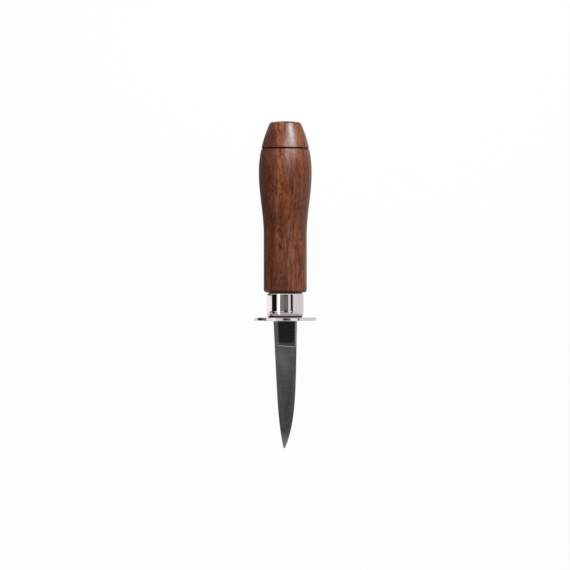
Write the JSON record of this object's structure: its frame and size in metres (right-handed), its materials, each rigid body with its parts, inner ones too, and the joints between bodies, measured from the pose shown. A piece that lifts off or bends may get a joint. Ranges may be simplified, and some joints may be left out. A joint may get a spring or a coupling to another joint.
{
  "type": "oyster knife",
  "caption": "Oyster knife: a short pointed blade with blunt bevelled edges, a round guard, a drawn steel ferrule and a turned wooden handle with a grooved butt.",
  "frame": {"origin": "on the knife's axis, at the front face of the guard", "axes": "+X along the axis towards the point of the blade, +Y across the blade towards its belly edge, +Z square to the blade's flats"},
  "size_m": [0.1667, 0.032, 0.032],
  "materials": {
    "blade_steel": "dark ground steel, polished next to the guard",
    "polished_steel": "mirror-polished stainless steel",
    "oiled_wood": "red-brown hardwood with dark pores, oiled to a satin gloss",
    "set_resin": "set adhesive resin, hidden in the handle"
  },
  "bodies": {
    "root": {"blade": "blade_steel", "guard": "polished_steel", "ferrule": "polished_steel", "handle": "oiled_wood", "tang_resin": "set_resin"}
  },
  "joints": []
}
